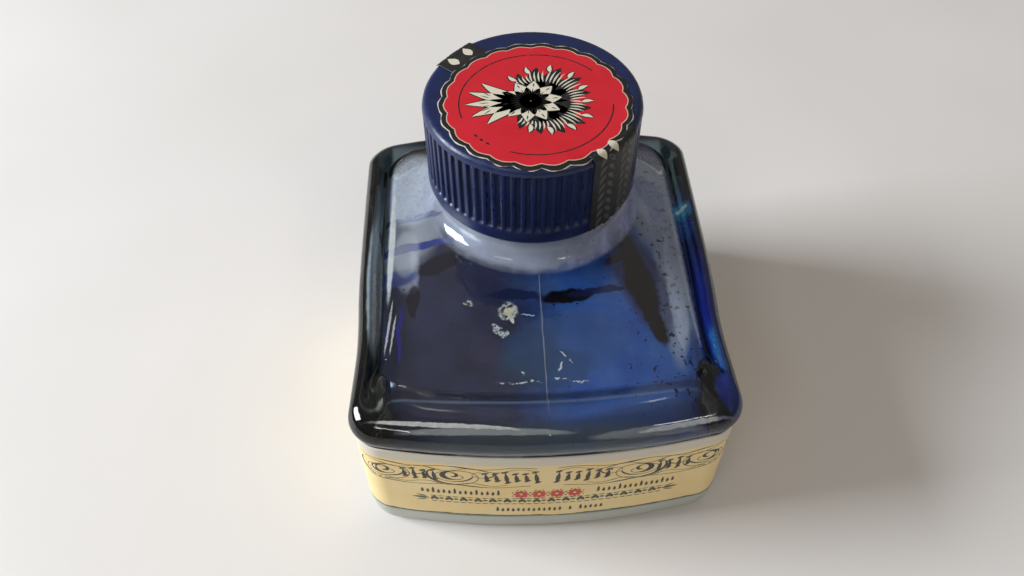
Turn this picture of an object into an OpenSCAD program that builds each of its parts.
// Desk ink bottle: a square moulded glass body with a low sloping shoulder, a pen rest along
// each side and a screw neck set to the back, closed by a ribbed cap under a paper seal.
// Millimetres. +X right, +Y to the back, +Z up; the origin is the centre of the base.

/* [Glass body] */
// Width of the body across its roll
body_w = 58; // [52:0.5:70]
// Depth of the body, front face to back face
body_d = 66.4; // [60:0.5:80]
// Height of the roll's widest line
roll_z = 27; // [24:0.5:33]
// Radius of the roll's section along the front
roll_r = 3.2; // [2.6:0.1:3.8]
// Radius of the roll's section along the sides and the back
rim_r = 2.3; // [1.8:0.1:2.6]
// Corner radius of the roll, seen from above
corner_r = 4.2; // [3.4:0.1:7]
// How far the front and back faces bow out in the middle
face_bow = 3.3; // [0:0.1:4.5]
// How far the sides are pinched in, near the front
side_pinch = 0.6; // [0:0.1:1]
// How far the label panel stands inside the roll
panel_inset = 0.7; // [0.4:0.05:1.1]
// Height of the heel under the label panel
heel_h = 5.2; // [3:0.1:8]
// Thickness of the glass wall behind the label
wall = 3.3; // [2.4:0.1:4.2]
// Thickness of the glass floor
floor_t = 4; // [3:0.1:6]
// Depth of the hollow under the base
base_hollow = 0.6; // [0.3:0.1:1.2]

/* [Shoulder] */
// Depth of the pen rests below the roll's top
rest_depth = 1.9; // [1:0.1:2.4]
// Distance from the front face to the valley behind the front roll
valley_in = 8.9; // [7.5:0.1:11]
// Depth of that valley below the roll's top
valley_depth = 1.3; // [0.6:0.1:2]
// Rise of the shoulder from its edge to the root of the neck
shoulder_rise = 2.6; // [1.5:0.1:5]

/* [Neck] */
// Radius of the mouth's bore
bore_r = 10.4; // [8:0.1:13]
// Thickness of the neck's wall under its thread
neck_wall = 3.4; // [2.6:0.1:4.4]
// Height of the threaded neck above its bead
neck_h = 12.8; // [10.5:0.1:16]
// Ledge between the neck's root and the shoulder's back edge
neck_ledge = 0.35; // [0.3:0.05:3]
// Height of the curve at the neck's root
root_h = 3.2; // [2:0.1:4]
// Rise of the thread in one turn
lead = 3.6; // [3.2:0.1:4.2]
// Height of the thread's ridge on the neck
ridge_h = 1.1; // [0.8:0.05:1.2]
// Turns of thread on the neck
neck_turns = 1.5; // [1:0.25:1.75]
// Plain length between the thread and the rim
thread_land = 1.8; // [1.6:0.1:3]

/* [Cap] */
// Thickness of the cap's wall between its ribs
cap_wall = 1.38; // [1:0.02:2]
// Thickness of the cap's top
cap_top_t = 1.45; // [1.3:0.05:2.5]
// Gap between the cap's skirt and the bead on the neck
skirt_gap = 0.34; // [0.3:0.02:2]
// Number of ribs round the cap
ribs = 70; // [48:1:80]
// Depth of the ribs
rib_depth = 0.42; // [0.3:0.02:0.5]
// Height of the plain band under the ribs
band_h = 2.5; // [1.5:0.1:4]
// Radius of the cap's top edge
cap_edge_r = 1.2; // [0.8:0.1:1.5]
// Gap between the thread's ridge on the neck and the cap's wall
thread_play = 0.3; // [0.2:0.05:0.5]
// Turns of thread in the cap
cap_turns = 1.25; // [1:0.25:1.5]

/* [Liner] */
// Thickness of the pulp board disc
board_t = 1; // [0.6:0.1:1.4]
// Thickness of the facing disc that seals on the rim
facing_t = 0.25; // [0.1:0.05:0.4]

/* [Paper] */
// Thickness of the label and the seal
paper_t = 0.15; // [0.1:0.05:0.25]
// Gap between the label's edges and the heel and the roll
label_gap = 0.4; // [0.2:0.1:3]
// How far behind the middle of the body the label's ends reach
label_end = 14; // [-10:0.5:20]
// Plain rim of the cap's flat top round the seal
seal_margin = 0.9; // [0.6:0.1:4]
// Number of scallops round the seal
scallops = 22; // [12:1:30]
// Width of the seal's strip
strip_w = 9.5; // [5:0.1:12]
// Direction in which the strip runs down the cap, in degrees from +X
strip_turn = -46; // [-80:1:0]

/* [Ink] */
// Height of the ink's surface above the table
ink_z = 11; // [9:0.5:16]

/* [Hidden] */

snug = 0.02;            // gap between pieces that lie on each other
ink_gap = 0.1;          // gap between the ink and the glass
paper_gap = 0.05;       // glue between the label and the glass
corner_n = 5;           // steps round each corner of the body
face_n = 14;            // steps along the front and the back
side_n = 12;            // steps along each side
ring_n = 2 * (face_n + side_n) + 4 * corner_n;

half_w = body_w / 2;
half_d = body_d / 2;
roll_top = roll_z + roll_r;
panel_top = roll_z - roll_r * sin(acos(1 - panel_inset / roll_r));
root_z = roll_top - 0.8 + shoulder_rise;      // shoulder's height where the neck begins
root_top = root_z + root_h;                   // where the curve at the root ends
neck_r = bore_r + neck_wall;
root_r = neck_r + 1.4;                        // neck's radius there
root_w = 3;                                   // width of the curve at the root
edge_in = rim_r + 0.95;                       // shoulder's back edge from the back face
neck_y = half_d - edge_in - neck_ledge - root_r;
inner_root_z = root_z - wall;
inner_root_r = bore_r + 0.8;
inner_root_w = 4.8;

bead_r = 0.8;                                 // section of the bead under the cap
bead_z = root_top + 0.9;
bead_top = bead_z + bead_r;
rim_z = bead_top + neck_h;
rim_edge = 0.8;

facing_z = rim_z + snug;
board_z = facing_z + facing_t;
cap_under = board_z + board_t + snug;         // underside of the cap's top
cap_top = cap_under + cap_top_t;
skirt_z = bead_top + skirt_gap;
cap_in_r = neck_r + ridge_h + thread_play;    // cap's inner wall
cap_r = cap_in_r + cap_wall + rib_depth;
cap_ridge_h = ridge_h - 0.05;
cap_crest_r = cap_in_r - cap_ridge_h;

ridge_root = 1.9;                             // thickness of the neck's ridge at its root
ridge_crest = 0.9;
cap_ridge_root = 1.7;
cap_ridge_crest = 0.8;
ridge_in = 0.3;                               // how far a ridge's root lies in its wall
flank_gap = 0.25;                             // axial gap between the two threads
neck_thread_z = rim_z - thread_land - lead * neck_turns;
thread_touch = mix(ridge_root, ridge_crest,
                   (cap_crest_r - neck_r + ridge_in) / (ridge_h + ridge_in)) / 2
               + cap_ridge_crest / 2;
thread_drop = thread_touch + flank_gap;       // how far the cap's thread lies below the neck's

label_z = heel_h + label_gap;
label_h = panel_top - label_z - label_gap;
seal_z = cap_top + snug;

function mix(a, b, t) = a + (b - a) * t;

// Plan outline as [x, y, nx, ny]: a rounded rectangle from the left side anticlockwise, whose
// front and back are bowed by scaling y with the square of x.
function straight(x0, y0, x1, y1, nx, ny, n) =
    [for (i = [0:n - 1]) [mix(x0, x1, i / n), mix(y0, y1, i / n), nx, ny]];
function corner(cx, cy, r, start) =
    [for (i = [0:corner_n - 1]) let (a = start + 90 * i / corner_n)
        [cx + r * cos(a), cy + r * sin(a), cos(a), sin(a)]];
function outline(hx, front, back, r, bow_f, bow_b) =
    [for (p = concat(
        straight(-hx, back - r, -hx, r - front, -1, 0, side_n),
        corner(r - hx, r - front, r, 180),
        straight(r - hx, -front, hx - r, -front, 0, -1, face_n),
        corner(hx - r, r - front, r, 270),
        straight(hx, r - front, hx, back - r, 1, 0, side_n),
        corner(hx - r, back - r, r, 0),
        straight(hx - r, back, r - hx, back, 0, 1, face_n),
        corner(r - hx, back - r, r, 90)))
        let (k = pow(p.x / hx, 2), bow = p.y < 0 ? bow_f / front : bow_b / back)
        [p.x, p.y * (1 - bow * k), p[2], p[3]]];

// Height of the neck's root curve at a distance from its axis: a quarter of an ellipse.
function root_rise(d, r, w, h) =
    d >= r + w ? 0 : h * (1 - sqrt(1 - pow(min(1, (r + w - d) / w), 2)));
function from_neck(p) = norm([p.x, p.y - neck_y]);

// A ring of the glass: heights and insets are given as [side, front, back].
function ring(z, inset, r, pinch = 0, bow_b = face_bow, on_top = 0, corner_up = 0) =
    [for (p = outline(half_w - inset[0], half_d - inset[1], half_d - inset[2], r,
                      face_bow, bow_b))
        let (side = p[2] * p[2], front = p[3] < 0 ? p[3] * p[3] : 0,
             back = p[3] > 0 ? p[3] * p[3] : 0,
             squeeze = pinch * side_pinch * side * exp(-pow((p.y + 14) / 9, 2)))
        [p.x - sign(p.x) * squeeze, p.y,
         z[0] * side + z[1] * front + z[2] * back + corner_up * 4 * side * front
         + on_top * root_rise(from_neck(p), root_r, root_w, root_h)]];
function flat_ring(z, inset, r) = ring([z, z, z], [inset, inset, inset], r);

// Rings that draw an edge ring in to a circle round the neck, rising to its root curve.
function draw_in(edge, shares, r, w, h, z) =
    [for (q = shares) [for (p = edge)
        let (d = from_neck(p), e = r + (d - r) * q,
             low = p.z - root_rise(d, r, w, h))
        [p.x * e / d, neck_y + (p.y - neck_y) * e / d,
         mix(low, z, 1 - q) + root_rise(e, r, w, h)]]];

// Faces of a tube of rings, closed by a fan at each end.
function tube_faces(count) = concat(
    [for (i = [0:ring_n - 1]) [0, 1 + i, 1 + (i + 1) % ring_n]],
    [for (k = [0:count - 2], i = [0:ring_n - 1], half = [0, 1])
        let (j = (i + 1) % ring_n, low = 1 + k * ring_n, high = low + ring_n)
        half == 0 ? [low + i, high + i, high + j] : [low + i, high + j, low + j]],
    [for (i = [0:ring_n - 1]) let (last = 1 + (count - 1) * ring_n)
        [1 + count * ring_n, last + (i + 1) % ring_n, last + i]]);
module tube(rings, start, end)
    polyhedron(points = concat([start], [for (r = rings) each r], [end]),
               faces = tube_faces(len(rings)), convexity = 8);

function roll_ring(a) =
    let (side = a < 0 ? roll_r : rim_r)
    ring([roll_z + roll_r * sin(a), roll_z + roll_r * sin(a), roll_z + roll_r * sin(a)],
         [side * (1 - cos(a)), roll_r * (1 - cos(a)), side * (1 - cos(a))],
         corner_r, pinch = 1, on_top = a < 0 ? 0 : sin(a) * sin(a));

function outer_rings() = concat(
    [flat_ring(base_hollow, 7, 3), flat_ring(0, 5, 3), flat_ring(0, 2.2, 3),
     flat_ring(0.4, 1.25, 3.2), flat_ring(1.2, 0.9, 3.4), flat_ring(heel_h - 0.5, 0.5, 3.6),
     flat_ring(heel_h, panel_inset, 3.6), flat_ring(panel_top, panel_inset, 3.9)],
    [for (a = [-14, 8, 28, 48, 68, 90]) roll_ring(a)],
    [ring([roll_top - rest_depth / 2, roll_top - 0.4, roll_top - 0.1],
          [rim_r + 0.75, mix(roll_r, valley_in, 0.55), edge_in - 0.65], 3.9,
          pinch = 0.8, bow_b = face_bow + 0.2, on_top = 1, corner_up = 0.4),
     ring([roll_top - rest_depth, roll_top - valley_depth, roll_top - 0.2],
          [rim_r + 1.5, valley_in, edge_in - 0.35], 3.8,
          pinch = 0.6, bow_b = face_bow + 0.4, on_top = 1, corner_up = 0.8),
     ring([roll_top - rest_depth + 0.6, roll_top - valley_depth + 0.15, roll_top - 0.1],
          [rim_r + 2.2, valley_in + 0.6, edge_in - 0.15], 3.9,
          pinch = 0.3, bow_b = face_bow + 0.6, on_top = 1, corner_up = 0.6),
     shoulder_edge()],
    draw_in(shoulder_edge(), [0.72, 0.5, 0.32, 0.2, 0.12, 0.05, 0],
            root_r, root_w, root_h, root_z));
function shoulder_edge() =
    ring([roll_top - 0.4, roll_top - valley_depth + 0.45, roll_top],
         [rim_r + 2.9, valley_in + 1.2, edge_in], 4,
         bow_b = face_bow + 0.7, on_top = 1);

// The chamber's wall at a height, with a gap for what stands in it.
chamber_in = panel_inset + wall;
function chamber_ring(z, extra = 0, gap = 0) = flat_ring(z, chamber_in + extra + gap, 6);
function ceiling_edge() =
    [for (p = ring([1, 1, 1] * (root_z - shoulder_rise - wall), [7.4, 7.8, 6.2], 6))
        [p.x, p.y, p.z + root_rise(from_neck(p), inner_root_r, inner_root_w,
                                   root_top - inner_root_z)]];
function inner_rings() =
    let (drawn = draw_in(ceiling_edge(), [0, 0.06, 0.15, 0.3, 0.5, 0.75], inner_root_r,
                         inner_root_w, root_top - inner_root_z, inner_root_z))
    concat(drawn,
        [ceiling_edge(),
         chamber_ring(roll_z - 1.9, 1.1), chamber_ring(roll_z - 4.4, 0.2),
         chamber_ring(roll_z - 8), chamber_ring(floor_t + 4),
         chamber_ring(floor_t + 1.2, 0.9), chamber_ring(floor_t, 3.5)]);

// Profiles of turned shapes, as [radius, height].
function arc(cx, cz, r, from, to, n = 8) =
    [for (i = [0:n]) let (a = mix(from, to, i / n)) [cx + r * cos(a), cz + r * sin(a)]];
function neck_profile() = concat(
    [[bore_r, root_top - 1], [root_r - 0.2, root_top - 1]],
    arc(root_r - 0.2, bead_z, bead_r, -90, 90),
    [[neck_r, bead_top + 0.5]],
    arc(neck_r - rim_edge, rim_z - rim_edge, rim_edge, 0, 90),
    arc(bore_r + rim_edge, rim_z - rim_edge, rim_edge, 90, 180));

// A ridge wound on a cylinder: root inside the wall, crest outside it, faded at both ends.
thread_steps = 48;
function ridge_points(root, hide, crest, w_root, w_crest, turns) =
    let (n = round(turns * thread_steps), fade_n = thread_steps / 8)
    [for (s = [0:n])
        let (a = 360 * s / thread_steps, z = lead * s / thread_steps,
             c = mix(hide, crest, min(1, s / fade_n, (n - s) / fade_n)))
        each [[root * cos(a), root * sin(a), z - w_root / 2],
              [c * cos(a), c * sin(a), z - w_crest / 2],
              [c * cos(a), c * sin(a), z + w_crest / 2],
              [root * cos(a), root * sin(a), z + w_root / 2]]];
function ridge_faces(n, out) =
    let (all = concat([[0, 1, 2], [0, 2, 3], [4 * n, 4 * n + 2, 4 * n + 1],
                       [4 * n, 4 * n + 3, 4 * n + 2]],
        [for (s = [0:n - 1], i = [0:3], half = [0, 1])
            let (a = 4 * s + i, b = 4 * s + (i + 1) % 4)
            half == 0 ? [a, a + 4, b + 4] : [a, b + 4, b]]))
    [for (f = all) out ? [f[2], f[1], f[0]] : f];
module ridge(root, hide, crest, w_root, w_crest, turns)
    polyhedron(points = ridge_points(root, hide, crest, w_root, w_crest, turns),
               faces = ridge_faces(round(turns * thread_steps), crest > root), convexity = 10);

module on_neck() translate([0, neck_y, 0]) children();

module glass_bottle() color([0.72, 0.80, 0.90, 0.45]) union() {
    tube(concat(outer_rings(), inner_rings()), [0, 0, base_hollow], [0, 0, floor_t]);
    on_neck() rotate_extrude($fn = 96) polygon(neck_profile());
    on_neck() translate([0, 0, neck_thread_z])
        ridge(neck_r - ridge_in, neck_r - ridge_in / 2, neck_r + ridge_h, ridge_root,
              ridge_crest, neck_turns);
}

module ink() color("#1c2a7a")
    tube([chamber_ring(floor_t + ink_gap, 3.5, ink_gap),
          chamber_ring(floor_t + 1.2 + ink_gap, 0.9, ink_gap),
          chamber_ring(floor_t + 4, 0, ink_gap), chamber_ring(ink_z, 0, ink_gap)],
         [0, 0, floor_t + ink_gap], [0, 0, ink_z]);

// The label follows the panel from one side, round the front, to the other.
function label_path(out) =
    let (all = flat_ring(0, panel_inset - out, 3.75),
         keep = [for (p = all) if (p.y < label_end) [p.x, p.y]], x = half_w - panel_inset + out)
    concat([[-x, label_end]], keep, [[x, label_end]]);
module wrap_label() color("#e6d3a1")
    translate([0, 0, label_z]) linear_extrude(label_h)
        polygon(concat(label_path(paper_gap + paper_t),
                       [for (i = [len(label_path(paper_gap)) - 1:-1:0])
                           label_path(paper_gap)[i]]));

rib_z = skirt_z + band_h;
rib_top = cap_top - cap_edge_r;
rib_r = cap_r - 0.04;                         // the ribs stand just inside the smooth top edge
function rib_outline() =
    [for (i = [0:ribs - 1], s = [[0, 0], [0.22, 0], [0.36, 0.75], [0.5, 1], [0.64, 1],
                                 [0.78, 0.75], [0.92, 0]])
        let (a = 360 * (i + s[0]) / ribs, r = rib_r - rib_depth * (1 - s[1]))
        [r * cos(a), r * sin(a)]];
function band_profile() =
    [[0, skirt_z], [cap_r - 0.35, skirt_z], [cap_r + 0.07, skirt_z + 0.4],
     [cap_r + 0.05, rib_z], [cap_r - rib_depth - 0.5, rib_z + 0.6], [0, rib_z + 0.6]];
function edge_profile() = concat(
    [[0, rib_top - 0.9], [cap_r - rib_depth - 0.5, rib_top - 0.9], [cap_r, rib_top - 0.3]],
    arc(cap_r - cap_edge_r, cap_top - cap_edge_r, cap_edge_r, 0, 90), [[0, cap_top]]);
module cap_shell() color("#22366f") on_neck() union() {
    difference() {
        union() {
            rotate_extrude($fn = 120) polygon(band_profile());
            translate([0, 0, rib_z - 0.5]) linear_extrude(rib_top - rib_z + 0.8)
                polygon(rib_outline());
            rotate_extrude($fn = 120) polygon(edge_profile());
        }
        translate([0, 0, skirt_z - 1]) cylinder(r = cap_in_r, h = cap_under - skirt_z + 1,
                                                $fn = 96);
    }
    translate([0, 0, neck_thread_z - thread_drop])
        ridge(cap_in_r + ridge_in, cap_in_r + ridge_in / 2, cap_crest_r, cap_ridge_root,
              cap_ridge_crest, cap_turns);
}

liner_r = cap_in_r - thread_play;
module liner_board() color("#b9a98a") on_neck() translate([0, 0, board_z])
    cylinder(r = liner_r, h = board_t, $fn = 96);
module liner_facing() color("#dcd6c6") on_neck() translate([0, 0, facing_z])
    cylinder(r = liner_r, h = facing_t - snug, $fn = 96);

// The seal: a scalloped disc and a strip across the cap's top, then down its side.
flat_r = cap_r - cap_edge_r;                  // flat part of the cap's top
seal_r = flat_r - seal_margin;
seal_in = cap_r + 0.07 + snug;                // the strip's inner radius on the skirt
seal_edge = cap_edge_r + 0.07;
seal_span = 2 * asin(strip_w / 2 / seal_in);
function scallop_outline() =
    [for (i = [0:scallops * 8 - 1]) let (a = 360 * i / (scallops * 8),
        r = seal_r - 0.45 * (1 - abs(cos(a * scallops / 2))))
        [r * cos(a), r * sin(a)]];
function strip_profile() = concat(
    arc(seal_in - seal_edge, seal_z - seal_edge, seal_edge, 90, 0),
    [[seal_in, skirt_z + 0.2], [seal_in + paper_t, skirt_z + 0.2]],
    arc(seal_in - seal_edge, seal_z - seal_edge, seal_edge + paper_t, 0, 90),
    [[seal_in - seal_edge - 0.3, seal_z + paper_t], [seal_in - seal_edge - 0.3, seal_z]]);
module seal_band() color("#c8202c") on_neck() union() {
    translate([0, 0, seal_z]) linear_extrude(paper_t) union() {
        polygon(scallop_outline());
        intersection() {
            rotate(strip_turn) translate([-flat_r - 1, -strip_w / 2])
                square([2 * flat_r + 2, strip_w]);
            circle(r = flat_r, $fn = 96);
        }
    }
    rotate([0, 0, strip_turn - seal_span / 2]) rotate_extrude(angle = seal_span, $fn = 96)
        polygon(strip_profile());
}

glass_bottle();
ink();
wrap_label();
cap_shell();
liner_board();
liner_facing();
seal_band();
